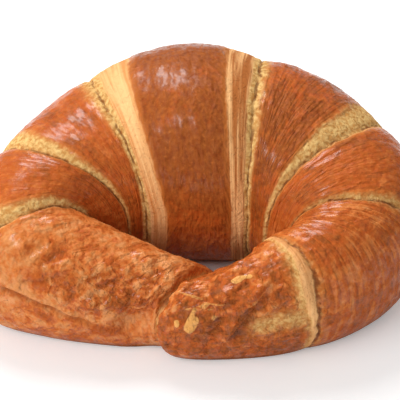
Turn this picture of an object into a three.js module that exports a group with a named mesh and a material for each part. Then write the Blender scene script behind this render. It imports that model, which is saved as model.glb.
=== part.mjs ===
// A croissant: a tapered roll of layered butter dough, baked as one piece.
// Its two horns are curled round to the front, where their tips are pressed together,
// so the roll closes into a ring round a narrow hole.
// Millimetres, +Z up. The back of the bend lies towards +Y and the joined tips towards -Y.
// It rests on its flat base at z = 0, and the origin is the middle of that base's bounding box.

import * as THREE from 'three';
import { LoftGeometry } from 'three/addons/geometries/LoftGeometry.js';

// Stations along the roll, clockwise from the back as seen from above.
// outer and inner are the ends of the upright cross-section there, in plan, and height is its top.
// They are measured from a point in the hole, and the finished roll is centred afterwards.
const stations = [
  { place: 'middle of the back', outer: [-14, 72], inner: [-6, 6], height: 66 },
  { place: 'right centre seam', outer: [18, 69], inner: [10, 5], height: 62.5 },
  { place: 'right shoulder', outer: [43, 57], inner: [13, 3], height: 59 },
  { place: 'right shoulder seam', outer: [61, 37.5], inner: [16, 0], height: 55 },
  { place: 'right flank', outer: [68, 16], inner: [20, -2], height: 52 },
  { place: 'right flank seam', outer: [66, -5], inner: [21, -5], height: 47.5 },
  { place: 'right horn', outer: [53, -19], inner: [19, -7], height: 43.5 },
  { place: 'right tip seam', outer: [33, -30], inner: [13, -8], height: 40 },
  { place: 'right tip', outer: [10, -34], inner: [9.5, -11], height: 34 },
  { place: 'end of the right tip', outer: [-16, -34], inner: [5, -12.5], height: 30 },
  { place: 'end of the left tip', outer: [-23, -28], inner: [0, -10], height: 29 },
  { place: 'left tip', outer: [-36, -28], inner: [-11, -7], height: 31.5 },
  { place: 'left horn', outer: [-60, -24.5], inner: [-28, 0], height: 38 },
  { place: 'left flank seam', outer: [-79, -16], inner: [-38, 4], height: 43 },
  { place: 'left flank', outer: [-80, 8], inner: [-33, 7], height: 48 },
  { place: 'left shoulder seam', outer: [-75, 28], inner: [-28, 8], height: 51 },
  { place: 'left shoulder', outer: [-62, 46], inner: [-25, 8], height: 54 },
  { place: 'left centre seam', outer: [-45, 61.5], inner: [-22, 8], height: 59.5 },
];

// Seams where one layer of the roll ends on the next. at is a station's number.
// bow moves the seam's upper inner stretch along the roll, in stations. depth is the crease's, and
// before and after are how far the dough on each side rounds down into it.
const seams = [
  { name: 'right_centre', at: 1, bow: 0, depth: 3.2, before: 2.5, after: 6 },
  { name: 'right_shoulder', at: 3, bow: 0.2, depth: 3, before: 3, after: 6 },
  { name: 'right_flank', at: 5, bow: 0, depth: 3, before: 3, after: 5 },
  { name: 'right_tip', at: 7, bow: -0.1, depth: 2.5, before: 2.5, after: 4 },
  { name: 'joined_tips', at: 9.5, bow: 0, depth: 6, before: 3.5, after: 3.5 },
  { name: 'left_flank', at: 13, bow: 0, depth: 3, before: 5, after: 3 },
  { name: 'left_shoulder', at: 15, bow: -0.55, depth: 3, before: 6, after: 3 },
  { name: 'left_centre', at: 17, bow: -0.35, depth: 3.2, before: 7, after: 2.5 },
];

const SQUARENESS = 2.3; // exponent of a section's superellipse: 2 is an ellipse
const WIDEST_AT = 0.45; // height of a section's widest point, as a share of its height
const BASE_CUT = 0.1; // depth that the flat base takes off a section, as a share of its height
const SIDE_SHARE = 0.4; // depth of a crease at the roll's sides, as a share of its depth on top
const POINTS_ROUND = 44; // points round one section
// Sections in the stretch of dough between two seams, closer together beside the seams.
const SECTIONS_AT = [0, 0.03, 0.08, 0.16, 0.3, 0.5, 0.7, 0.84, 0.92, 0.97];
const BOW_AT_TOP = 1.5; // evens out the bow, which is the full one a little inwards of the top
const LENGTH_STEPS = 12; // straight steps that a length along the roll is measured in
const LEAST_GAP = 1e-4; // below this share of a turn, a sine counts as zero

const closed = true;
const outerLine = new THREE.CatmullRomCurve3(
  stations.map(({ outer: [x, y] }) => new THREE.Vector3(x, y, 0)), closed, 'catmullrom');
const innerLine = new THREE.CatmullRomCurve3(
  stations.map(({ inner: [x, y], height }) => new THREE.Vector3(x, y, height)), closed, 'catmullrom');

// A point of a closed line at a place counted in stations, which may be past either end.
function along(line, place) {
  return line.getPoint(THREE.MathUtils.euclideanModulo(place, stations.length) / stations.length);
}

// Where a seam lies at an angle round the section, counted in stations.
function seamPlace(seam, angle) {
  const upper = Math.max(0, Math.sin(angle));
  const inward = (1 - Math.cos(angle)) / 2;
  return seam.at + BOW_AT_TOP * seam.bow * upper * inward;
}

// Length of the roll's middle line between two places, in millimetres.
function lengthBetween(from, to) {
  const line = [];
  for (let i = 0; i <= LENGTH_STEPS; i++) {
    const place = THREE.MathUtils.lerp(from, to, i / LENGTH_STEPS);
    line.push(along(outerLine, place).add(along(innerLine, place)).setZ(0).multiplyScalar(0.5));
  }
  return line.slice(1).reduce((sum, point, i) => sum + point.distanceTo(line[i]), 0);
}

// A superellipse's cosine or sine.
function squared(value) {
  return Math.abs(value) < LEAST_GAP ? 0 : Math.sign(value) * Math.abs(value) ** (2 / SQUARENESS);
}

// A point of the crust. angle runs from outwards over the top to inwards, and sunk is how far
// the crust lies under the roll's full shape there.
function crustPoint(place, angle, sunk) {
  const outer = along(outerLine, place);
  const inner = along(innerLine, place);
  const height = inner.z;
  inner.z = 0;
  const middle = outer.clone().add(inner).multiplyScalar(0.5);
  const halfWidth = outer.distanceTo(inner) / 2;
  const towardsOuter = outer.sub(inner).normalize();
  const rise = squared(Math.sin(angle));
  const share = rise > 0 ? 1 - WIDEST_AT : WIDEST_AT + BASE_CUT;
  const reach = halfWidth - SIDE_SHARE * sunk;
  const point = middle.addScaledVector(towardsOuter, reach * squared(Math.cos(angle)));
  return point.setZ(Math.max(0, height * WIDEST_AT + (height * share - sunk) * rise));
}

// The closed rings of points that the roll is lofted through.
function rollSections() {
  const sections = [];
  seams.forEach((seam, i) => {
    const next = seams[(i + 1) % seams.length];
    const turn = next.at < seam.at ? stations.length : 0;
    const length = lengthBetween(seam.at, next.at + turn);
    for (const share of SECTIONS_AT) {
      const sunk = seam.depth * Math.exp((-share * length) / seam.after)
        + next.depth * Math.exp(((share - 1) * length) / next.before);
      const section = [];
      for (let j = 0; j < POINTS_ROUND; j++) {
        const angle = (2 * Math.PI * j) / POINTS_ROUND;
        const upright = THREE.MathUtils.euclideanModulo(angle, 2 * Math.PI);
        const place = THREE.MathUtils.lerp(
          seamPlace(seam, upright), seamPlace(next, upright) + turn, share);
        section.push(crustPoint(place, upright, sunk));
      }
      sections.push(section);
    }
  });
  sections.push(sections[0]);
  return sections;
}

function croissantGeometry() {
  const geometry = new LoftGeometry(rollSections());
  geometry.computeBoundingBox();
  const middle = geometry.boundingBox.getCenter(new THREE.Vector3());
  return geometry.translate(-middle.x, -middle.y, 0);
}

const crust = new THREE.MeshStandardMaterial({ color: 0xb0602c, roughness: 0.35, metalness: 0 });
const croissant = new THREE.Mesh(croissantGeometry(), crust);
croissant.name = 'croissant';

const part = new THREE.Group();
part.add(croissant);

export default part;
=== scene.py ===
import math

import bmesh
import bpy
import numpy as np
from mathutils import Euler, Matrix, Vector, noise


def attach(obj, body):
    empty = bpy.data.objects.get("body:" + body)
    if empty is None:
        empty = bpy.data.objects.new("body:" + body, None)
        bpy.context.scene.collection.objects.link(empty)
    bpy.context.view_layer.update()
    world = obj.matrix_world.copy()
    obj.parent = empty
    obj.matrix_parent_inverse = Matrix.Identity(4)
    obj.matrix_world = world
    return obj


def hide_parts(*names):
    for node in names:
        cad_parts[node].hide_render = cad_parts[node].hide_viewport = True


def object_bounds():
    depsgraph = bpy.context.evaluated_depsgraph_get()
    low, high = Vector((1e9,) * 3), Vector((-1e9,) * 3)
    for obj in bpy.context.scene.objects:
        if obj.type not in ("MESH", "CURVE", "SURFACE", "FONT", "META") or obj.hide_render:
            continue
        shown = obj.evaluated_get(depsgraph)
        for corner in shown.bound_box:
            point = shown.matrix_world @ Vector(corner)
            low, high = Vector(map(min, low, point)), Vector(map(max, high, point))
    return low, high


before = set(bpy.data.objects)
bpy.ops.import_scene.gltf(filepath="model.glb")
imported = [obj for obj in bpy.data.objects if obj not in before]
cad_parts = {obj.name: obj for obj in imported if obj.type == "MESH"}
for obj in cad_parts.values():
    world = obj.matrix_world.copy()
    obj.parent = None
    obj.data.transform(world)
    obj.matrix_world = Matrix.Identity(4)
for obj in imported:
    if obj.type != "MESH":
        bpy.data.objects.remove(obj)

bl_info = {
    "name": "Croissant",
    "version": (1, 0, 0),
    "blender": (4, 5, 0),
    "location": "View3D > Sidebar > Croissant",
    "description": "Builds a glazed butter croissant round its plain solid, and a stage for it",
    "category": "Add Mesh",
}

MM = 0.001
NODE = "croissant"
CAD_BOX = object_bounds()

# ---------------------------------------------------------------------------------------------
# The roll, in millimetres
# ---------------------------------------------------------------------------------------------

# Stations along the roll, clockwise from the middle of the back as seen from above: the ends of
# the upright section in plan, outer x, outer y, inner x, inner y, and its height.
STATIONS = np.array((
    (-14, 72, -6, 6, 66),
    (18, 69, 10, 5, 62.5),
    (43, 57, 13, 3, 59),
    (61, 37.5, 16, 0, 55),
    (68, 16, 20, -2, 52),
    (66, -5, 21, -5, 47.5),
    (53, -19, 19, -7, 43.5),
    (33, -30, 13, -8, 40),
    (10, -34, 9.5, -11, 34),
    (-16, -34, 5, -12.5, 30),
    (-23, -28, 0, -10, 29),
    (-36, -28, -11, -7, 31.5),
    (-60, -24.5, -28, 0, 38),
    (-79, -16, -38, 4, 43),
    (-80, 8, -33, 7, 48),
    (-75, 28, -28, 8, 51),
    (-62, 46, -25, 8, 54),
    (-45, 61.5, -22, 8, 59.5),
))
SQUARENESS = 2.3  # exponent of a section's superellipse
WIDEST_AT = 0.45  # height of a section's widest point, as a share of its height
BASE_CUT = 0.1  # depth that the flat base takes off a section, as a share of its height
SIDE_SHARE = 0.4  # depth of a crease at the sides, as a share of its depth on top
BOW_AT_TOP = 1.5  # evens out a seam's bow, which is the full one a little inwards of the top

# Seams from the joined tips clockwise round to the joined tips again. at is a place in stations,
# and bow moves the upper inner stretch along the roll. over is the side that the upper layer
# lies on: 1 means before the seam, -1 after it and 0 neither. edge names that layer's edge,
# spread is how wide its bare dough is on the roll's outer and inner side, as a share of the
# usual, and browned is how brown its drawn-out layers are painted; on the seam at 1, on the
# right of the middle, that is partly painted shade on the side turned from the light.
SEAMS = (
    {"at": -8.5, "bow": 0, "over": 0, "edge": "join", "spread": (1, 1), "browned": 0},
    {"at": -5, "bow": 0, "over": -1, "edge": "crumb", "spread": (0.85, 0.35), "browned": 0},
    {"at": -3, "bow": -0.55, "over": -1, "edge": "crumb", "spread": (0.95, 0.3), "browned": 0},
    {"at": -1, "bow": -0.35, "over": -1, "edge": "layers", "spread": (1.6, 1.3), "browned": 0},
    {"at": 1, "bow": 0, "over": 1, "edge": "layers", "spread": (1.35, 1.1), "browned": 0.8},
    {"at": 3, "bow": 0.2, "over": 1, "edge": "crumb", "spread": (1.2, 0.6), "browned": 0},
    {"at": 5, "bow": 0, "over": 1, "edge": "crumb", "spread": (0.34, 0.12), "browned": 0},
    {"at": 7, "bow": -0.1, "over": 1, "edge": "stripe", "spread": (0.75, 0.7), "browned": 0.3},
    {"at": 9.5, "bow": 0, "over": 0, "edge": "join", "spread": (1, 1), "browned": 0},
)
# The stretches of dough between the seams, in the same order: how dark each is baked, how much
# darker it is low on the inner side, paler where below 0, which is partly less baked dough and
# partly painted light and shade that even out the shading low inside the ring, most of all on
# the centre, and from 0 to 1 how wrinkled and blistered it is, and how much it is lined where
# the dough was drawn tight.
STRETCHES = (
    {"name": "left horn", "baked": 0.02, "low": 0, "rough": 0.42, "lined": 0.1},
    {"name": "left flank", "baked": 0.6, "low": -0.5, "rough": 0.2, "lined": 0.4},
    {"name": "left shoulder", "baked": 0.72, "low": 0.15, "rough": 0.2, "lined": 0.3},
    {"name": "centre", "baked": 1.34, "low": -1.0, "rough": 0.1, "lined": 0.1},
    {"name": "right shoulder", "baked": 0.92, "low": -0.5, "rough": 0.2, "lined": 0.6},
    {"name": "right flank", "baked": 0.75, "low": -0.7, "rough": 0.15, "lined": 0.4},
    {"name": "right horn", "baked": 0.45, "low": -0.1, "rough": 0.25, "lined": 1.0},
    {"name": "right tip", "baked": 0.68, "low": 0, "rough": 0.6, "lined": 0.2},
)
# Folds, dents, drips and shreds of dough: the points that each runs through in the finished
# model, the half of its width, its height, and the mask that it marks.
MARKS = (
    # The darker inner side of the right shoulder, and the blistered ends of both horns.
    (((15, -8, 36), (16, 2, 50)), 9.0, 0.0, "baked"),
    (((-38, -44, 25), (-26, -45, 24), (-12, -43, 27)), 9.0, 0.3, "blistered"),
    (((6, -52, 20), (20, -51, 22), (32, -50, 20)), 9.0, 0.0, "blistered"),
    # The fold along the left horn with painted shade along it, its pale upper lip, and the glaze
    # below and round it painted darker.
    (((-61, -41, 23), (-55, -43, 21), (-46, -45, 18), (-34, -46, 13), (-24, -46, 9)), 0.8, -1.2, "dark"),
    (((-59, -41, 25), (-46, -45, 20), (-34, -46, 15), (-24, -46, 11)), 0.8, 0.5, "pale"),
    (((-58, -38, 9), (-42, -43, 5), (-22, -44, 3)), 3.2, 0.0, "baked"),
    (((-56, -43, 17), (-43, -45, 14), (-31, -46, 11), (-16, -46, 8)), 2.2, 0.3, "baked"),
    # The pale hollow below the left horn's end, and the pale neck between the tips, which is partly
    # painted light that lifts the shade in the sunk join.
    (((-22, -47, 12), (-15, -46, 16), (-9, -45, 18), (-4, -47, 22)), 3.8, -2.6, "pale"),
    (((-6, -46, 20), (-4, -46, 26), (-6, -42, 29), (-9, -38, 30)), 4.5, 0.0, "pale"),
    (((-9, -39, 29), (-3, -40, 25)), 4.0, 0.0, "pale"),
    # The blunt end of the left horn: its ridge, its darker front, its pale top and its dents.
    (((-34, -45, 22), (-24, -45, 22), (-17, -45, 23), (-11, -44, 26), (-5, -43, 28)), 2.6, 2.4, None),
    (((-22, -46, 19), (-14, -46, 21), (-6, -46, 24)), 2.6, 0.0, "baked"),
    (((-26, -44, 27), (-16, -42, 29), (-9, -43, 28)), 3.6, 0.0, "baked"),
    (((-20, -38, 30), (-14, -36, 30), (-6, -36, 28)), 4.5, 1.0, "pale"),
    (((-25, -45, 24), (-22, -46, 22), (-21, -46, 19)), 1.8, -0.9, "baked"),
    (((-21, -45, 25), (-15, -44, 25)), 1.6, -0.9, "baked"),
    (((-21, -47, 17), (-20, -46, 22)), 1.9, -0.9, "baked"),
    (((-17, -45, 22), (-11, -45, 24), (-5, -46, 25)), 1.2, -0.9, "baked"),
    # Wrinkles on the left horn; the dark mask lays painted shade into some of their dents.
    (((-41, -45, 24), (-36, -45, 23)), 1.8, -0.8, "baked"),
    (((-53, -38, 35), (-48, -36, 37)), 0.7, -0.7, None),
    (((-48, -40, 33), (-42, -37, 36)), 0.8, -0.8, "baked"),
    (((-46, -42, 29), (-38, -39, 33)), 0.8, -0.9, "baked"),
    (((-43, -44, 26), (-34, -41, 31)), 0.8, -0.9, None),
    (((-40, -44, 25), (-31, -42, 30)), 0.7, -0.8, "dark"),
    (((-34, -45, 24), (-26, -43, 28)), 0.8, -0.9, "dark"),
    (((-31, -46, 22), (-24, -44, 26)), 0.7, -0.8, None),
    (((-55, -42, 27), (-48, -43, 28), (-42, -42, 30)), 0.6, -0.6, "dark"),
    # Pale puffs on the left horn.
    (((-31, -41, 31), (-28, -40, 32)), 1.6, 0.7, "pale"),
    (((-37, -43, 28), (-33, -40, 32)), 1.3, 0.7, "pale"),
    (((-17, -35, 32), (-14, -36, 31), (-16, -38, 31)), 1.0, 0.7, "pale"),
    # The flap on the right tip, and the dent on each side of it, with painted shade in both dents.
    (((9, -53, 14), (11, -53, 19), (14, -52, 23), (16, -51, 27), (20, -49, 31)), 1.7, 2.5, "pale"),
    (((6, -53, 15), (8, -53, 21), (11, -52, 27)), 1.6, -1.6, "baked"),
    (((12, -53, 14), (15, -52, 19), (18, -51, 24), (22, -49, 28)), 1.2, -2.0, "dark"),
    # The swelling behind the flap, and the patch where the glaze is worn thin.
    (((8, -44, 32), (13, -42, 34), (18, -39, 35)), 2.5, 0.9, None),
    (((20, -52, 18), (26, -52, 19), (33, -50, 19)), 4.6, -0.3, "thin"),
    # Drips and pale spots on the right tip.
    (((-1, -53, 21), (-2, -53, 18)), 1.9, 1.2, "drip"),
    (((0, -52, 25), (-1, -53, 22)), 1.0, 0.7, "drip"),
    (((-6, -52, 20), (-6, -53, 19)), 0.9, 0.6, "drip"),
    (((12, -47, 32), (14, -46, 32)), 1.1, 0.6, "drip"),
    (((15, -46, 33), (17, -46, 33)), 0.7, 0.4, "drip"),
    (((3, -49, 29), (4, -50, 28), (2, -47, 30)), 2.4, -0.4, "pale"),
    (((21, -38, 36), (22, -40, 36)), 1.4, 0.5, "pale"),
    # Shreds across the right tip.
    (((-6, -50, 23), (-1, -52, 25), (3, -51, 26), (6, -51, 26), (10, -51, 26)), 0.5, 0.8, "shred"),
    (((2, -51, 26), (5, -52, 24), (6, -53, 21)), 0.5, 0.7, "shred"),
    (((-5, -47, 27), (-2, -49, 28), (2, -50, 27)), 0.5, 0.6, "shred"),
    # Drawn lines on the right horn.
    (((39, -40, 39), (43, -44, 34), (44, -46, 25), (44, -46, 13)), 0.5, 0.35, "pale"),
    (((43, -39, 40), (47, -42, 33), (49, -44, 23), (48, -45, 12)), 0.5, 0.3, "pale"),
)
# The dark mask lays painted shade into folds, dents and cracks; baked and pale paint the glaze darker
# and paler.
MARK_MASKS = ("dark", "baked", "pale", "shred", "drip", "thin", "blistered")
# Broad rounding into a seam: depth, and reach on the upper layer's side and on the other.
ROUNDING = {
    "layers": (1.4, 3.5, 6),
    "crumb": (1.6, 3.0, 5),
    "stripe": (1.2, 3.0, 4),
    "join": (6, 3.5, 3.5),
}
# Fine relief across a seam as (distance, height), with the upper layer at negative distances.
RELIEF = {
    "layers": ((-10, 0), (-8.5, 0), (-8.0, -0.4), (-2.4, -0.5), (-1.8, -0.7), (-0.4, -0.6),
               (0, -1.3), (0.35, -0.5), (2.6, 0), (4.0, 0)),
    "crumb": ((-9, 0), (-7, 0), (-6.3, -0.3), (-1.2, -0.5), (-0.1, -1.2), (0.35, -0.4),
              (1.1, 0), (2.4, 0.1), (4, 0)),
    "stripe": ((-4, 0), (-1.5, 0.1), (-0.8, 0), (-0.2, -0.6), (0.4, -0.3), (1.0, 0.1),
               (2.2, 0.3), (3.4, 0.1), (4.0, -0.4), (7, 0)),
    "join": ((-4, 0), (0, -0.8), (4, 0)),
}
# Where bare dough shows across a seam, and where that dough is smooth layers.
BARE = {"layers": (-8.2, 1.6), "crumb": (-6.8, 0.9), "stripe": (-0.1, 5), "join": (-2, 2)}
SMOOTH = {"layers": (-9.5, -1.8), "crumb": (0.5, 1.8), "stripe": (0.4, 3.4), "join": (-1, 1)}
FAR = 60.0  # distance that stands for no seam near

# Unevenness of the dough as noise: the size of its features, its seed and its octaves.
GRAIN = {
    "seam edge": (4, 1, 3),
    "seam course": (17, 2, 1),
    "swells": (22, 3, 1),
    "folds": (14, 4, 2),
    "fine crumb": (2, 5, 2),
    "coarse crumb": (5, 6, 1),
    "drawn layers": (5, 7, 2),
    "pimples": (2.2, 9, 1),
    "lumps": (7, 10, 2),
    "wrinkles": (2.6, 11, 2),
}
BLISTERS = (3.2, 8)  # spacing of the blisters, and their seed
BLISTER_REACH = 0.55  # radius of a blister's foot, as a share of the spacing
SEED_SHIFT = (7.31, -3.17, 5.73)  # how far a seed moves the noise
SMOOTHNESS = 0.9  # how much fainter each octave of the noise is
LACUNARITY = 2.1  # how much finer each octave of the noise is
SEAM_EDGE = 0.5  # how far the finest wobble moves a seam
SEAM_COURSE = 1.1  # how far the broad wobble moves a seam
LOW_OUTSIDE = (4, 36)  # heights between which a seam narrows towards the base on the outer side
NARROWED = 0.5  # share of its width that it loses there
DRAWN_EDGE = 0.4  # half the distance over which drawn-out layers fade out
THIN_INSIDE = 0.8  # how far inside bare dough the middle of a thin patch counts as
THIN_OUTSIDE = 2.0  # how far outside it everything beyond the patch counts as
BLISTERED_ROUGH = 0.6  # how much rougher a blistered mark makes the glaze
WRINKLES_RUN = np.array((0.85, 0.25, 0.45))  # direction of the wrinkles on the horns
WRINKLES_DRAWN = 0.6  # how far the wrinkles are drawn out that way
WRINKLE_BACK = 0.35  # noise at which a wrinkle neither rises nor sinks
FOLDS_NARROWED = 5  # how many times narrower the folds are along the roll than round it
FOLDS_LEAST = 0.45  # share of the folds' height that is left on smooth glaze
BLISTERS_LEAST = 0.25  # share of the blisters' height that is left on smooth glaze
COARSE_CRUMB = 0.7  # height of the coarse crumb, as a share of the fine crumb's
LAYER_LINES = 0.12  # height of the lines in the drawn-out layers
LINES_DRAWN = 2  # how many times those lines are drawn out round the roll
PIMPLES = (0.04, 0.12)  # height of the pimples on smooth glaze, and what wrinkled glaze adds
INNER_LOSS = 0.45  # share of the seams' relief that is lost on the roll's inner side
OFF_BASE = (0.5, 7)  # heights between which the unevenness sets in above the flat base
OPENED = (-0.3, 0.6)  # distances inside bare dough between which the glaze stops
BLEND = 4  # distance from a seam within which two stretches blend
BAKED_MARK = 0.55  # how much darker a baked mark is
PALE_MARK = 0.45  # how much paler a pale mark is
# Painted shade: a wrinkle's dent is painted darker than its back, partly for glaze pooled there.
WRINKLE_SHADE = 1.7  # how much darker a wrinkle's dent is than its back
WRINKLE_EVEN = 0.3  # noise at which a wrinkle is neither darker nor paler
LOW_INSIDE = (8, 38)  # heights between which the lower inner side fades out
UNDERSIDE = (0.2, 4)  # heights between which the underside's finish fades out

# The mesh has a column for each section along the roll and a row for each angle round it.
COLUMNS = 470
ROWS = 211
BASE_DENSITY = 0.35  # how densely rows lie on the base, as a share of their density on top
BASE_SINES = (-0.75, -0.15)  # sines of the angles between which they get that much closer
PLAIN_DENSITY = 0.45  # how densely columns lie between seams, as a share of it beside them
SEAM_REACH = (3, 12)  # distances from a seam between which they get that much sparser
LENGTH_STEPS = 25  # points at which a stretch's length is measured
ANGLE_STEPS = 2001  # angles from which the rows are chosen
COLUMN_STEPS = 6001  # lengths from which the columns are chosen
WELD = 1e-7  # distance in metres within which the ring's two ends are welded


def closed_spline(places):
    """Rows of STATIONS at places counted in stations, on a closed Catmull-Rom spline."""
    first = np.floor(places).astype(int)
    f = (places - first)[..., None]
    p0, p1, p2, p3 = (STATIONS[(first + k) % len(STATIONS)] for k in (-1, 0, 1, 2))
    return 0.5 * (2 * p1 + (p2 - p0) * f + (2 * p0 - 5 * p1 + 4 * p2 - p3) * f**2
                  + (3 * p1 - p0 - 3 * p2 + p3) * f**3)


def squared(value):
    """A superellipse's cosine or sine."""
    return np.sign(value) * np.abs(value) ** (2 / SQUARENESS)


def seam_place(seam, angle):
    """Where a seam lies at an angle round the section, in stations."""
    inward = (1 - np.cos(angle)) / 2
    return seam["at"] + BOW_AT_TOP * seam["bow"] * np.maximum(0, np.sin(angle)) * inward


def crust_points(place, angle, sunk):
    """Points of the roll in millimetres. angle runs from outwards over the top to inwards."""
    table = closed_spline(place)
    outer, inner, height = table[..., 0:2], table[..., 2:4], table[..., 4]
    half = (outer - inner) / 2
    length = np.linalg.norm(half, axis=-1)
    reach = (length - SIDE_SHARE * sunk) * squared(np.cos(angle)) / length
    rise = squared(np.sin(angle))
    share = np.where(rise > 0, 1 - WIDEST_AT, WIDEST_AT + BASE_CUT)
    z = height * WIDEST_AT + (height * share - sunk) * rise
    plan = (outer + inner) / 2 + half * reach[..., None]
    return np.concatenate((plan, np.maximum(z, 0)[..., None]), axis=-1)


def middle_length(start, end):
    """Length of the roll's middle line between two places, in millimetres."""
    table = closed_spline(np.linspace(start, end, LENGTH_STEPS))
    middle = (table[:, 0:2] + table[:, 2:4]) / 2
    return np.linalg.norm(np.diff(middle, axis=0), axis=1).sum()


def smooth_step(low, high, value):
    """0 below low and 1 above high, with a smooth rise between them."""
    t = np.clip((value - low) / (high - low), 0, 1)
    return t * t * (3 - 2 * t)


def spaced(fine, weight, count):
    """count steps over the values fine, as close together as weight says."""
    total = np.concatenate(([0], np.cumsum((weight[1:] + weight[:-1]) / 2)))
    return np.interp(np.linspace(0, total[-1], count + 1), total, fine)


class Roll:
    """The roll's grid: a column for each section along it and a row for each angle round it."""

    def __init__(self):
        self.spans = [middle_length(a["at"], b["at"]) for a, b in zip(SEAMS, SEAMS[1:])]
        self.starts = np.concatenate(([0], np.cumsum(self.spans)))
        self.angles = self.row_angles()
        self.along = self.column_lengths()
        found = np.searchsorted(self.starts, self.along, side="right") - 1
        self.segment = np.clip(found, 0, len(self.spans) - 1)
        self.place = self.places()

    def row_angles(self):
        """Angles from the middle of the base round to it again, closest together on top."""
        fine = np.linspace(-math.pi / 2, 1.5 * math.pi, ANGLE_STEPS)
        weight = BASE_DENSITY + (1 - BASE_DENSITY) * smooth_step(*BASE_SINES, np.sin(fine))
        return spaced(fine, weight, ROWS)

    def column_lengths(self):
        """Lengths along the roll, closest together beside the seams."""
        fine = np.linspace(0, self.starts[-1], COLUMN_STEPS)
        near = np.abs(fine[:, None] - self.starts[None, :]).min(axis=1)
        weight = PLAIN_DENSITY + (1 - PLAIN_DENSITY) * (1 - smooth_step(*SEAM_REACH, near))
        return spaced(fine, weight, COLUMNS)

    def places(self):
        """The place in stations of each column and row."""
        place = np.zeros((len(self.along), len(self.angles)))
        for k, span in enumerate(self.spans):
            here = self.segment == k
            share = ((self.along[here] - self.starts[k]) / span)[:, None]
            first = seam_place(SEAMS[k], self.angles)[None, :]
            last = seam_place(SEAMS[k + 1], self.angles)[None, :]
            place[here] = first * (1 - share) + last * share
        return place

    def gap(self, k):
        """Distance of each column from a seam, below 0 on the upper layer's side."""
        return ((self.along - self.starts[k]) * (SEAMS[k]["over"] or 1))[:, None]

    def sunk(self):
        """How far each column is sunk by the broad rounding into the seams."""
        sunk = 0
        for k, seam in enumerate(SEAMS):
            depth, over_reach, under_reach = ROUNDING[seam["edge"]]
            gap = self.gap(k)
            reach = np.where(gap < 0, over_reach, under_reach)
            sunk = sunk + depth * np.exp(-np.abs(gap) / reach)
        return sunk

    def points(self, sunk):
        """Points of the roll with its columns sunk by a depth."""
        return crust_points(self.place, np.broadcast_to(self.angles, self.place.shape), sunk)

    def uv(self, points):
        """Distances of points along and round the roll, in centimetres."""
        steps = np.linalg.norm(np.diff(points, axis=1), axis=-1)
        around = np.concatenate((np.zeros((len(points), 1)), np.cumsum(steps, axis=1)), axis=1)
        along = np.broadcast_to(self.along[:, None], around.shape)
        return np.stack((along, around), axis=-1) / 10

    def inward(self):
        """How far each row lies towards the roll's inner side, from 0 to 1."""
        return ((1 - np.cos(self.angles)) / 2)[None, :]


def normals_of(points):
    """Outward unit normals of a closed ring of sections."""
    wrapped = np.concatenate((points[-2:-1], points, points[1:2]))
    along = np.gradient(wrapped, axis=0)[1:-1]
    around = np.gradient(points, axis=1)
    normal = np.cross(around, along)
    return normal / np.maximum(np.linalg.norm(normal, axis=-1, keepdims=True), 1e-9)


def raised(points, height):
    """Points moved outwards by a height, with the ring kept closed along and round the roll."""
    height = height.copy()
    height[0] = height[-1] = (height[0] + height[-1]) / 2
    moved = points + normals_of(points) * height[..., None]
    moved[-1] = moved[0]
    moved[:, -1] = moved[:, 0]
    return moved


def noise_places(points, size, seed):
    """Where points in millimetres lie in a noise with features of a given size."""
    shift = Vector([seed * step for step in SEED_SHIFT])
    return [Vector(point) + shift for point in (points / size).reshape(-1, 3).tolist()]


def uneven(points, name):
    """Unevenness of the dough from about -1 to 1 at points in millimetres."""
    size, seed, octaves = GRAIN[name]
    places = noise_places(points, size, seed)
    values = [noise.fractal(place, SMOOTHNESS, LACUNARITY, octaves) for place in places]
    return np.array(values).reshape(points.shape[:-1])


def blistered(points):
    """Round blisters from 0 to 1 at points in millimetres."""
    near = np.array([noise.voronoi(place)[0][0] for place in noise_places(points, *BLISTERS)])
    return np.clip(1 - near / BLISTER_REACH, 0, 1).reshape(points.shape[:-1]) ** 1.5


def seam_masks(roll, points):
    """Relief across the seams in millimetres, and the masks that they give the finish.

    bare is how far inside bare dough a point lies, and crease how far it is from a seam, in
    millimetres. streak says where bare dough is drawn-out layers, and browned how brown they are.
    """
    wobble = SEAM_EDGE * uneven(points, "seam edge") + SEAM_COURSE * uneven(points, "seam course")
    inward = roll.inward()
    low = 1 - smooth_step(*LOW_OUTSIDE, points[..., 2])
    tapered = 1 - NARROWED * (1 - inward) * low
    shape = points.shape[:2]
    relief, streak, browned = np.zeros(shape), np.zeros(shape), np.zeros(shape)
    bare, crease = np.full(shape, -FAR), np.full(shape, FAR)
    for k, seam in enumerate(SEAMS):
        outer, inner = seam["spread"]
        width = (outer + (inner - outer) * inward) * tapered
        gap = (roll.gap(k) + wobble) / width
        edge = seam["edge"]
        relief += np.interp(gap, *zip(*RELIEF[edge]))
        low, high = BARE[edge]
        bare = np.maximum(bare, np.minimum(gap - low, high - gap) * width)
        low, high = SMOOTH[edge]
        drawn = smooth_step(-DRAWN_EDGE, DRAWN_EDGE, np.minimum(gap - low, high - gap))
        streak = np.maximum(streak, drawn)
        browned = np.maximum(browned, seam["browned"] * drawn)
        crease = np.minimum(crease, np.abs(gap) * width)
    return relief, {"bare": bare, "streak": streak, "crease": crease, "browned": browned}


def distance_to(points, path):
    """Distance of each point from the line through the points of a path."""
    nearest = np.full(points.shape[:-1], FAR)
    for start, end in zip(path, path[1:]):
        start, step = np.array(start, float), np.subtract(end, start).astype(float)
        share = np.clip(((points - start) @ step) / (step @ step), 0, 1)
        away = np.linalg.norm(points - start - share[..., None] * step, axis=-1)
        nearest = np.minimum(nearest, away)
    return nearest


def marked(points):
    """Height of the folds, dents and shreds at each point, and how far each mask covers it."""
    height = np.zeros(points.shape[:-1])
    masks = {name: np.zeros(points.shape[:-1]) for name in MARK_MASKS}
    for path, half_width, rise, name in MARKS:
        cover = np.exp(-(distance_to(points, path) / half_width) ** 2)
        height += rise * cover
        if name:
            masks[name] = np.maximum(masks[name], cover)
    return height, masks


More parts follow.
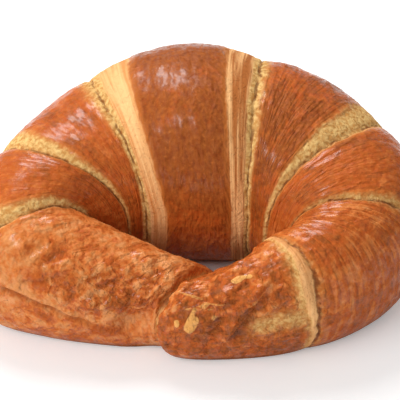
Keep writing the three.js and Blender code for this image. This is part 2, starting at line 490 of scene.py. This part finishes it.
def by_stretch(roll, key):
    """A property of the stretches of dough, for each column, blended beside the seams."""
    values = np.array([stretch[key] for stretch in STRETCHES])
    middles = (roll.starts[1:] + roll.starts[:-1]) / 2
    last = roll.starts[-1]
    places = np.concatenate(([middles[-1] - last], middles, [middles[0] + last]))
    near = np.abs(roll.along[:, None] - roll.starts[None, :]).min(axis=1)
    blended = np.interp(roll.along, places, np.concatenate((values[-1:], values, values[:1])))
    own = values[roll.segment]
    return (own + (blended - own) * (1 - smooth_step(0, BLEND, near)))[:, None]


def laid_ring(roll):
    """The ring of dough before its unevenness, with the plain solid's middle at x and y 0."""
    plain = roll.points(np.zeros((len(roll.along), 1))).reshape(-1, 3)
    centre = (plain.min(axis=0) + plain.max(axis=0)) / 2 * (1, 1, 0)
    points = roll.points(roll.sunk()) - centre
    points[-1] = points[0]
    return points


def fold_places(roll, points):
    """Points on an even tube so long that noise there makes folds that run round the roll."""
    turn = 2 * math.pi * roll.along / roll.starts[-1]
    radius = FOLDS_NARROWED * roll.starts[-1] / (2 * math.pi)
    around = roll.uv(points)[..., 1] * 10  # back to millimetres
    x = np.broadcast_to(radius * np.cos(turn)[:, None], around.shape)
    y = np.broadcast_to(radius * np.sin(turn)[:, None], around.shape)
    return np.stack((x, y, around), axis=-1)


def coarse_dough(points, folds_at, glazed, rough, sizes):
    """Height in millimetres of the dough's swells, folds and lumps."""
    height = sizes.swells / MM * uneven(points, "swells")
    folded = FOLDS_LEAST + (1 - FOLDS_LEAST) * rough
    height += glazed * folded * sizes.folds / MM * uneven(folds_at, "folds")
    return height + rough * sizes.lumps / MM * uneven(points, "lumps")


def fine_crumb(points, folds_at, opened, streak, sizes):
    """Height in millimetres of the open crumb's grain and of the lines in drawn-out layers."""
    grain = uneven(points, "fine crumb") + COARSE_CRUMB * uneven(points, "coarse crumb")
    lines = uneven(folds_at / (1, 1, LINES_DRAWN), "drawn layers")
    return opened * ((1 - streak) * sizes.crumb / MM * grain + streak * LAYER_LINES * lines)


def fine_glaze(points, puffs, glazed, rough, sizes):
    """Height in millimetres of the glaze's wrinkles, blisters and pimples."""
    height = glazed * rough ** 2 * sizes.wrinkles / MM * (puffs - WRINKLE_BACK)
    blistering = BLISTERS_LEAST + (1 - BLISTERS_LEAST) * rough
    height += glazed * blistering * sizes.blisters / MM * blistered(points)
    smooth, added = PIMPLES
    return height + glazed * (smooth + added * rough) * uneven(points, "pimples")


def surface(roll, sizes):
    """The finished points in millimetres, and the masks that the finish reads."""
    points = laid_ring(roll)
    above = smooth_step(*OFF_BASE, points[..., 2])
    relief, masks = seam_masks(roll, points)
    marks, covered = marked(points)
    thin = (THIN_INSIDE + THIN_OUTSIDE) * covered["thin"] - THIN_OUTSIDE
    masks["bare"] = np.maximum(masks["bare"], thin)
    opened = smooth_step(*OPENED, masks["bare"])
    glazed = 1 - opened
    rough = np.minimum(by_stretch(roll, "rough") + BLISTERED_ROUGH * covered["blistered"], 1)
    folds_at = fold_places(roll, points)
    along_wrinkles = (points @ WRINKLES_RUN)[..., None] * WRINKLES_RUN
    puffs = np.abs(uneven(points - WRINKLES_DRAWN * along_wrinkles, "wrinkles"))

    coarse = relief * (1 - INNER_LOSS * roll.inward()) + marks
    coarse += coarse_dough(points, folds_at, glazed, rough, sizes)
    points = raised(points, above * coarse)
    fine = fine_crumb(points, folds_at, opened, masks["streak"], sizes)
    fine += fine_glaze(points, puffs, glazed, rough, sizes)
    points = raised(points, above * fine)
    points[..., 2] = np.maximum(points[..., 2], 0)

    # The baked mask also carries painted light and shade: lifted or deepened low on the inner side, and
    # darker in the wrinkles' dents.
    low_inside = roll.inward() * (1 - smooth_step(*LOW_INSIDE, points[..., 2]))
    baked = by_stretch(roll, "baked") + by_stretch(roll, "low") * low_inside
    baked = baked + BAKED_MARK * covered["baked"] - PALE_MARK * covered["pale"]
    masks["baked"] = baked + WRINKLE_SHADE * rough * (WRINKLE_EVEN - puffs)
    masks["rough"] = rough
    masks["lined"] = np.broadcast_to(by_stretch(roll, "lined"), rough.shape)
    masks["under"] = 1 - smooth_step(*UNDERSIDE, points[..., 2])
    masks.update({name: covered[name] for name in ("dark", "drip", "shred")})
    return points, masks


def bent_grid(points, uv, masks):
    """A grid of quads bent to points and closed into a ring, with its UV map and attributes."""
    columns, rows = points.shape[0] - 1, points.shape[1] - 1
    bm = bmesh.new()
    bmesh.ops.create_grid(bm, x_segments=columns, y_segments=rows, size=0.5)
    bm.verts.index_update()
    cell = [(i % (columns + 1), i // (columns + 1)) for i in range(len(bm.verts))]
    uv_layer = bm.loops.layers.uv.new("roll")
    for face in bm.faces:
        for loop in face.loops:
            loop[uv_layer].uv = uv[cell[loop.vert.index]]
    layers = [(bm.verts.layers.float.new(name), values) for name, values in masks.items()]
    for v in bm.verts:
        at = cell[v.index]
        v.co = points[at]
        for layer, values in layers:
            v[layer] = values[at]
    edge = [v for v in bm.verts if v.is_boundary]
    bmesh.ops.remove_doubles(bm, verts=edge, dist=WELD)
    bmesh.ops.recalc_face_normals(bm, faces=bm.faces)
    return bm


def make_crust(sizes):
    """The croissant's one piece, without its finish."""
    roll = Roll()
    points, masks = surface(roll, sizes)
    bm = bent_grid(points * MM, roll.uv(points), masks)
    mesh = bpy.data.meshes.new("crust")
    bm.to_mesh(mesh)
    bm.free()
    mesh.shade_smooth()
    piece = bpy.data.objects.new("crust", mesh)
    bpy.context.scene.collection.objects.link(piece)
    return piece


# ---------------------------------------------------------------------------------------------
# Finishes
# ---------------------------------------------------------------------------------------------

def linear(red, green, blue):
    """An sRGB colour given as 0 to 255, as the linear one that a shader takes."""
    return tuple((c / 255 / 12.92) if c <= 10 else ((c / 255 + 0.055) / 1.055) ** 2.4
                 for c in (red, green, blue)) + (1.0,)


class Nodes:
    """Short calls that add nodes to one node tree and link them."""

    def __init__(self, tree):
        self.tree = tree

    def add(self, kind, inputs=(), **settings):
        """A new node with its settings and its inputs, each a value or a socket."""
        node = self.tree.nodes.new(kind)
        for name, value in settings.items():
            setattr(node, name, value)
        for name, value in dict(inputs).items():
            self.feed(node.inputs[name], value)
        return node

    def feed(self, socket, value):
        """Link a socket to another one, or set its value."""
        if isinstance(value, bpy.types.NodeSocket):
            self.tree.links.new(value, socket)
        else:
            socket.default_value = value

    def attribute(self, name):
        """A mask that the mesh carries."""
        return self.add("ShaderNodeAttribute", attribute_name=name).outputs["Fac"]

    def math(self, operation, *values):
        node = self.add("ShaderNodeMath", operation=operation)
        for socket, value in zip(node.inputs, values):
            self.feed(socket, value)
        return node.outputs[0]

    def times(self, first, second):
        return self.math("MULTIPLY", first, second)

    def total(self, *terms):
        """The sum of values, each given with its weight."""
        result = 0.0
        for value, weight in terms:
            result = self.math("MULTIPLY_ADD", value, weight, result)
        return result

    def ramp(self, value, low, high, to_low=0.0, to_high=1.0):
        """value from low to high, as a smooth value from to_low to to_high."""
        node = self.add("ShaderNodeMapRange", interpolation_type="SMOOTHSTEP")
        for name, number in (("Value", value), ("From Min", low), ("From Max", high),
                             ("To Min", to_low), ("To Max", to_high)):
            self.feed(node.inputs[name], number)
        return node.outputs["Result"]

    def mix(self, share, first, second):
        """A colour from first to second. A mix node's colours are its sockets 6 and 7."""
        node = self.add("ShaderNodeMix", data_type="RGBA")
        for place, value in ((0, share), (6, first), (7, second)):
            self.feed(node.inputs[place], value)
        return node.outputs[2]


# Patterns of the finish in the dough itself: their scale on metres, detail, roughness and
# distortion.
DOUGH_PATTERNS = {
    "broad": (45, 2, 0.5, 0),
    "patch": (170, 3, 0.5, 0.6),
    "speckle": (620, 1, 0.5, 0.3),
    "fleck": (1000, 2, 0.5, 0),
    "pores": (700, 2, 0.5, 0.4),
    "holes": (520, 3, 0.6, 1.2),
    "ragged": (500, 3, 0.6, 0),
    "broken": (210, 2, 0.5, 0),
    "tray": (330, 4, 0.65, 0),
    "crinkles": (300, 2, 0.5, 1.2),
    "fine": (560, 1, 0.5, 0.4),
}
# Patterns that follow the roll: their scale along it and round it on centimetres, and the rest.
ROLLED_PATTERNS = {
    "brushed": (5, 2.2, 1, 0.5, 0.5),
    "lines": (10, 0.6, 1, 0.5, 0),
    "bands": (4.5, 0.22, 2, 0.5, 0),
    "strands": (20, 0.6, 3, 0.6, 0),
    "washed": (8, 2.4, 1, 0.5, 0.4),
    "strokes": (4, 2, 1, 0.4, 0.8),
}
CRUST_MASKS = ("bare", "streak", "crease", "browned", "baked", "rough", "lined", "under", "dark",
               "drip", "shred")
# Depths of baking between which the glaze turns from pale to light, to its middle and to dark.
TO_LIGHT = (-0.5, 0.1)
TO_MID = (0.05, 0.55)
TO_DARK = (0.6, 1.3)
RELIEF_DEPTH = 0.001  # height in metres that a pattern of 1 stands for
RELIEF_STRENGTH = 0.9
DOUGH_ROUGHNESS = 0.7
GLAZE_ROUGHNESS = 0.42
SHINE = 0.8  # weight of the coat where the glaze was brushed on thickly
SHINE_ROUGHNESS = 0.2
SHINE_IOR = 1.4
DOUGH_SPECULAR = 0.05


class CrustFinish(Nodes):
    """The nodes of the crust: its glaze, drawn-out layers, crumb, painted shade in its creases, base and
    relief.
    """

    def __init__(self, tree, colours):
        super().__init__(tree)
        self.colours = colours
        self.place = self.add("ShaderNodeTexCoord").outputs["Object"]
        self.rolled = self.add("ShaderNodeUVMap", uv_map="roll").outputs["UV"]
        self.mask = {name: self.attribute(name) for name in CRUST_MASKS}
        # Lines where the dough was drawn tight, and the light and dark of drawn-out layers.
        self.lines = self.times(self.evened(self.along("lines"), 0.36), self.mask["lined"])
        self.drawn = self.total((self.along("bands"), 0.7), (self.along("strands"), 0.3))
        self.pores = self.within("pores")
        self.holes = self.ramp(self.within("holes"), 0.32, 0.48)
        # The edge of the glaze is ragged and soft along crumb, and clean along drawn-out layers.
        self.ragged = self.math("MULTIPLY_ADD", self.within("ragged"), 3.0, -1.5)
        held = self.times(self.ragged, self.ramp(self.mask["streak"], 0, 1, 1.0, 0.15))
        self.edge = self.math("ADD", self.mask["bare"], held)
        sharpness = self.ramp(self.mask["streak"], 0, 1, 0.45, 1.0)
        self.shown = self.ramp(self.times(self.edge, sharpness), -0.5, 0.7)

    def pattern(self, at, scale, detail, roughness, distortion):
        node = self.add("ShaderNodeTexNoise", {
            "Vector": at, "Scale": scale, "Detail": detail, "Roughness": roughness,
            "Distortion": distortion})
        return node.outputs["Fac"]

    def within(self, name):
        """A pattern from 0 to 1 in the dough itself."""
        return self.pattern(self.place, *DOUGH_PATTERNS[name])

    def along(self, name):
        """A pattern from 0 to 1 that follows the roll."""
        x, y, detail, roughness, distortion = ROLLED_PATTERNS[name]
        scaled = self.add("ShaderNodeMapping", {"Vector": self.rolled, "Scale": (x, y, 1.0)})
        return self.pattern(scaled.outputs["Vector"], 1.0, detail, roughness, distortion)

    def evened(self, pattern, low):
        """A pattern between low and its mirror about a half, as a value from -0.5 to 0.5."""
        return self.ramp(pattern, low, 1 - low, -0.5, 0.5)

    def glaze(self):
        """Glaze, darker the more it is baked or painted with shade, mottled, flecked and thin beside
        bare dough.
        """
        colours = self.colours
        mottle = self.total((self.evened(self.within("patch"), 0.36), 0.45),
                            (self.evened(self.within("speckle"), 0.32), 0.25))
        mottled = self.times(mottle, self.ramp(self.mask["rough"], 0, 1, 0.8, 2.4))
        depth = self.total((self.mask["baked"], 1.0),
                           (self.evened(self.within("broad"), 0.35), 0.4),
                           (mottled, 1.0),
                           (self.evened(self.along("brushed"), 0.34), 0.12),
                           (self.lines, 0.45))
        glaze = self.mix(self.ramp(depth, *TO_LIGHT), colours.glaze_pale, colours.glaze_light)
        glaze = self.mix(self.ramp(depth, *TO_MID), glaze, colours.glaze_mid)
        glaze = self.mix(self.ramp(depth, *TO_DARK), glaze, colours.glaze_dark)
        flecks = self.times(self.ramp(self.within("fleck"), 0.6, 0.75), 0.25)
        glaze = self.mix(flecks, glaze, colours.glaze_light)
        thin = self.times(self.ramp(self.edge, -4.5, 0.2), 0.75)
        return self.mix(thin, glaze, colours.rim)

    def bare_dough(self):
        """Open crumb with its pores and holes, and the smooth layers that are drawn out."""
        colours = self.colours
        layers = self.mix(self.ramp(self.drawn, 0.34, 0.64), colours.layers_dark,
                          colours.layers_light)
        brown = self.mix(self.ramp(self.drawn, 0.4, 0.6), colours.layers_brown, layers)
        layers = self.mix(self.mask["browned"], layers, brown)
        crumb = self.mix(self.ramp(self.pores, 0.28, 0.7), colours.crumb_dark,
                         colours.crumb_light)
        holed = self.math("MULTIPLY_ADD", self.holes, -0.55, 0.55)
        crumb = self.mix(holed, crumb, colours.crumb_dark)
        return self.mix(self.mask["streak"], crumb, layers)

    def cut(self):
        """How far painted shade shows at the bottom of a broken seam or crack, and where the dark mask
        lies.
        """
        broken = self.ramp(self.within("broken"), 0.36, 0.52, 0.15, 0.7)
        depth = self.total((self.mask["crease"], 1.0), (self.ragged, 0.3))
        seams = self.times(self.ramp(depth, 0.6, 0.1), broken)
        return self.math("MAXIMUM", seams, self.times(self.mask["dark"], 0.5))

    def colour(self):
        """The crust's colour, from the glaze up to the drips and shreds that lie on it."""
        colours = self.colours
        colour = self.mix(self.shown, self.glaze(), self.bare_dough())
        # Painted shade: the crease colour in seams, cracks, folds and dents.
        colour = self.mix(self.cut(), colour, colours.crease)
        base = self.mix(self.ramp(self.within("tray"), 0.36, 0.64), colours.base_dark,
                        colours.base)
        colour = self.mix(self.mask["under"], colour, base)
        colour = self.mix(self.ramp(self.mask["drip"], 0.35, 0.5), colour, colours.drip)
        shreds = self.times(self.ramp(self.mask["shred"], 0.3, 0.8), 0.7)
        return self.mix(shreds, colour, colours.drip)

    def glazed(self):
        """How far glaze covers the dough."""
        covered = self.ramp(self.shown, 0, 1, 1.0, 0.0)
        return self.times(covered, self.ramp(self.mask["under"], 0, 1, 1.0, 0.0))

    def relief(self):
        """Brushed or crinkled glaze and porous dough, each evened out about zero."""
        fine = self.within("fine")
        glaze = self.total((self.along("strokes"), 0.8), (fine, 0.3), (1.0, -0.55),
                           (self.lines, 0.3))
        crinkled = self.total((self.within("crinkles"), 1.8), (fine, 0.9), (1.0, -1.35))
        glaze = self.total((glaze, 1.0), (self.times(crinkled, self.mask["rough"]), 1.0))
        streak = self.mask["streak"]
        dough = self.total((self.times(self.drawn, streak), 0.6), (self.pores, 0.5),
                           (self.holes, 0.25), (streak, -0.3), (1.0, -0.45))
        covered = self.ramp(self.shown, 0, 1, 1.0, 0.15)
        return self.total((self.times(glaze, covered), 1.0), (self.times(dough, self.shown), 0.7))


def crust_material(colours):
    """Glaze that shines where it was brushed on thickly, over matt dough."""
    material = bpy.data.materials.new("crust")
    material.use_nodes = True
    tree = material.node_tree
    tree.nodes.clear()
    finish = CrustFinish(tree, colours)
    glazed = finish.glazed()
    wet = finish.times(glazed, finish.ramp(finish.along("washed"), 0.42, 0.6, 0.2, 1.0))
    bump = finish.add("ShaderNodeBump", {
        "Height": finish.relief(), "Distance": RELIEF_DEPTH, "Strength": RELIEF_STRENGTH})
    roughness = finish.ramp(glazed, 0, 1, DOUGH_ROUGHNESS, GLAZE_ROUGHNESS)
    shader = finish.add("ShaderNodeBsdfPrincipled", {
        "Base Color": finish.colour(), "Roughness": roughness, "Normal": bump.outputs["Normal"],
        "Specular IOR Level": DOUGH_SPECULAR, "Coat Weight": finish.times(wet, SHINE),
        "Coat Roughness": SHINE_ROUGHNESS, "Coat IOR": SHINE_IOR})
    output = finish.add("ShaderNodeOutputMaterial")
    tree.links.new(shader.outputs["BSDF"], output.inputs["Surface"])
    return material


def floor_material(colour):
    """Matt floor that glows for the camera: painted light that whitens the floor and the croissant's
    shadow, more the further out it lies, left out within about 3 cm of the middle so the floor in the
    hole keeps its shade.
    """
    material = bpy.data.materials.new("studio_floor")
    material.use_nodes = True
    shader = material.node_tree.nodes["Principled BSDF"]
    shader.inputs["Base Color"].default_value = colour
    shader.inputs["Roughness"].default_value = 0.8
    shader.inputs["Emission Color"].default_value = colour
    n = Nodes(material.node_tree)
    seen = n.add("ShaderNodeLightPath").outputs["Is Camera Ray"]
    away = n.add("ShaderNodeVectorMath", {0: n.add("ShaderNodeTexCoord").outputs["Object"]},
                 operation="LENGTH").outputs["Value"]
    # Painted light: the glow is cut out round the middle, so only the hole stays in shade.
    outside = n.ramp(away, 0.03, 0.05)
    floor_glow = n.ramp(away, 0.3, 1.5, 0.25, 0.6)
    n.feed(shader.inputs["Emission Strength"], n.times(n.times(outside, seen), floor_glow))
    return material


# ---------------------------------------------------------------------------------------------
# Settings
# ---------------------------------------------------------------------------------------------

def colour_setting(name, description, default):
    """A property that holds a colour."""
    return bpy.props.FloatVectorProperty(
        name=name, description=description, default=default, size=4, subtype="COLOR",
        min=0.0, max=1.0)


def size_setting(name, description, millimetres):
    """A property that holds a size, given in millimetres and kept in metres."""
    return bpy.props.FloatProperty(
        name=name, description=description, default=millimetres * MM, unit="LENGTH")


class CroissantColours(bpy.types.PropertyGroup):
    """Colours of the crust and of the stage."""

    glaze_pale: colour_setting("Pale glaze", "Thinnest glaze", linear(233, 158, 100))
    glaze_dark: colour_setting("Dark glaze", "Best baked glaze", linear(110, 27, 6))
    glaze_mid: colour_setting("Glaze", "Most of the glaze", linear(178, 66, 18))
    glaze_light: colour_setting("Light glaze", "Thin glaze and freckles", linear(219, 120, 60))
    rim: colour_setting("Glaze rim", "Thin glaze beside bare dough", linear(208, 122, 54))
    layers_dark: colour_setting("Dark layers", "Lines between drawn-out layers", linear(222, 144, 80))
    layers_brown: colour_setting("Brown layers", "Lines between browned layers", linear(172, 96, 44))
    layers_light: colour_setting("Light layers", "Drawn-out layers", linear(255, 197, 134))
    crumb_dark: colour_setting("Crumb pores", "Pores of the open crumb", linear(200, 140, 74))
    crumb_light: colour_setting("Crumb", "Open crumb at the seams", linear(240, 198, 128))
    # Painted shade: the crease colour is laid into the bottoms of seams, cracks, folds and dents.
    crease: colour_setting("Crease", "Bottom of a seam", linear(112, 50, 20))
    drip: colour_setting("Drip", "Beads of dough that the glaze missed", linear(236, 168, 92))
    base: colour_setting("Underside", "Matt underside", linear(168, 98, 50))
    base_dark: colour_setting("Dark underside", "Patches of the underside", linear(124, 62, 28))
    floor: colour_setting("Floor", "Studio floor", (0.9, 0.9, 0.9, 1.0))


class CroissantSizes(bpy.types.PropertyGroup):
    """Heights of the crust's unevenness."""

    swells: size_setting("Swells", "Height of the broad unevenness", 0.7)
    folds: size_setting("Folds", "Height of the folds that run round the roll", 0.45)
    lumps: size_setting("Lumps", "Height of the lumps on the horns", 0.7)
    wrinkles: size_setting("Wrinkles", "Depth of the wrinkles on the horns", 1.5)
    blisters: size_setting("Blisters", "Height of the blisters", 0.4)
    crumb: size_setting("Crumb", "Height of the open crumb's grain", 0.2)


class CroissantStage(bpy.types.PropertyGroup):
    """Floor, lights and camera."""

    floor_size: bpy.props.FloatProperty(
        name="Floor size", description="Side of the square floor", default=4.0, unit="LENGTH")
    sky_strength: bpy.props.FloatProperty(
        name="Sky", description="Strength of the even light from all round", default=0.42)
    key_power: bpy.props.FloatProperty(
        name="Key light", description="Power of the soft light above", default=5.6,
        subtype="POWER")
    glint_power: bpy.props.FloatProperty(
        name="Glint light", description="Power of the small light that the glaze mirrors",
        default=1.8, subtype="POWER")
    fill_power: bpy.props.FloatProperty(
        name="Fill light", description="Power of the large soft light in front", default=9.5,
        subtype="POWER")
    camera_distance: bpy.props.FloatProperty(
        name="Camera distance", description="From the camera to the croissant", default=0.6,
        unit="LENGTH")
    camera_elevation: bpy.props.FloatProperty(
        name="Camera elevation", description="Angle of the camera above the horizon",
        default=math.radians(40), subtype="ANGLE")
    lens: bpy.props.FloatProperty(
        name="Lens", description="Focal length on a sensor 36 mm wide", default=162.0,
        unit="CAMERA")


# ---------------------------------------------------------------------------------------------
# Stage and operators
# ---------------------------------------------------------------------------------------------

# Studio lights: where the middle of each disk is, and its width, in metres.
LIGHTS = {
    "key_light": ((-0.2, 0.52, 0.75), 0.5),
    "glint_light": ((-0.35, -0.45, 0.9), 0.22),
    "fill_light": ((-0.85, -0.55, 0.65), 1.0),
}
LIT_PLACE = (0, 0, 0.03)
AIM_FROM_MIDDLE = (1.3, 1.4, -8.6)  # from the solid's middle to the camera's aim, in millimetres
MIRRORED_SKY = 0.6  # how strongly the glaze mirrors the sky, as a share of its light
SEEN_SKY = 0.95  # brightness of the sky behind the floor


def disk_light(name, power):
    """A round studio light that points at the croissant."""
    place, size = LIGHTS[name]
    data = bpy.data.lights.new(name, "AREA")
    data.shape = "DISK"
    data.size = size
    data.energy = power
    light = bpy.data.objects.new(name, data)
    light.location = place
    light.rotation_euler = (Vector(LIT_PLACE) - Vector(place)).to_track_quat("-Z", "Y").to_euler()
    bpy.context.scene.collection.objects.link(light)
    return light


class CROISSANT_OT_crust(bpy.types.Operator):
    """Make the baked roll with its seams, crumb and glaze"""

    bl_idname = "croissant.crust"
    bl_label = "Crust"

    def execute(self, context):
        crust = make_crust(context.scene.croissant_sizes)
        crust.data.materials.append(crust_material(context.scene.croissant_colours))
        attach(crust, "root")
        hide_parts(NODE)
        return {"FINISHED"}


class CROISSANT_OT_stage(bpy.types.Operator):
    """Make the pale floor, the soft studio lights and the camera"""

    bl_idname = "croissant.stage"
    bl_label = "Stage"

    def execute(self, context):
        scene = context.scene
        stage = scene.croissant_stage
        self.make_floor(stage, scene.croissant_colours)
        self.make_lights(stage)
        self.make_camera(stage)
        scene.view_settings.view_transform = "Standard"
        return {"FINISHED"}

    def make_floor(self, stage, colours):
        bm = bmesh.new()
        bmesh.ops.create_grid(bm, x_segments=1, y_segments=1, size=stage.floor_size / 2)
        mesh = bpy.data.meshes.new("studio_floor")
        bm.to_mesh(mesh)
        bm.free()
        floor = bpy.data.objects.new("studio_floor", mesh)
        floor.data.materials.append(floor_material(tuple(colours.floor)))
        bpy.context.scene.collection.objects.link(floor)

    def make_lights(self, stage):
        self.make_sky(stage.sky_strength)
        disk_light("key_light", stage.key_power)
        glint = disk_light("glint_light", stage.glint_power)
        glint.visible_diffuse = False
        fill = disk_light("fill_light", stage.fill_power)
        fill.visible_glossy = False

    def make_sky(self, strength):
        """Even light from all round, fainter where it is mirrored, and pale behind the floor."""
        world = bpy.data.worlds.new("studio_sky")
        world.use_nodes = True
        sky = Nodes(world.node_tree)
        path = sky.add("ShaderNodeLightPath")
        mirrored = sky.ramp(path.outputs["Is Glossy Ray"], 0, 1, 1.0, MIRRORED_SKY)
        even = sky.times(mirrored, strength)
        background = world.node_tree.nodes["Background"]
        sky.feed(background.inputs["Color"], (1.0, 1.0, 1.0, 1.0))
        sky.feed(background.inputs["Strength"],
                 sky.ramp(path.outputs["Is Camera Ray"], 0, 1, even, SEEN_SKY))
        bpy.context.scene.world = world

    def make_camera(self, stage):
        angle = stage.camera_elevation
        low, high = CAD_BOX
        aim = (Vector(low) + Vector(high)) / 2 + Vector(AIM_FROM_MIDDLE) * MM
        data = bpy.data.cameras.new("camera")
        data.sensor_width = 36
        data.lens = stage.lens
        camera = bpy.data.objects.new("camera", data)
        back = Vector((0, -math.cos(angle), math.sin(angle)))
        camera.location = aim + back * stage.camera_distance
        camera.rotation_euler = Euler((math.pi / 2 - angle, 0, 0))
        bpy.context.scene.collection.objects.link(camera)
        bpy.context.scene.camera = camera


class CROISSANT_PT_panel(bpy.types.Panel):
    """Buttons and settings for the croissant"""

    bl_idname = "CROISSANT_PT_panel"
    bl_label = "Croissant"
    bl_space_type = "VIEW_3D"
    bl_region_type = "UI"
    bl_category = "Croissant"

    def draw(self, context):
        for operator in (CROISSANT_OT_crust, CROISSANT_OT_stage):
            self.layout.operator(operator.bl_idname)
        scene = context.scene
        for group in (scene.croissant_sizes, scene.croissant_colours, scene.croissant_stage):
            for name in group.bl_rna.properties.keys():
                if name not in {"rna_type", "name"}:
                    self.layout.prop(group, name)


CLASSES = (CroissantSizes, CroissantColours, CroissantStage, CROISSANT_OT_crust, CROISSANT_OT_stage,
           CROISSANT_PT_panel)


def register():
    """Adds the classes, and the settings to the scene."""
    for cls in CLASSES:
        bpy.utils.register_class(cls)
    bpy.types.Scene.croissant_sizes = bpy.props.PointerProperty(type=CroissantSizes)
    bpy.types.Scene.croissant_colours = bpy.props.PointerProperty(type=CroissantColours)
    bpy.types.Scene.croissant_stage = bpy.props.PointerProperty(type=CroissantStage)


def unregister():
    """Takes the settings and the classes away again."""
    del bpy.types.Scene.croissant_stage
    del bpy.types.Scene.croissant_colours
    del bpy.types.Scene.croissant_sizes
    for cls in reversed(CLASSES):
        bpy.utils.unregister_class(cls)


def main():
    """Builds the stage and the croissant."""
    register()
    bpy.ops.croissant.stage()
    bpy.ops.croissant.crust()


if __name__ == "__main__":
    main()
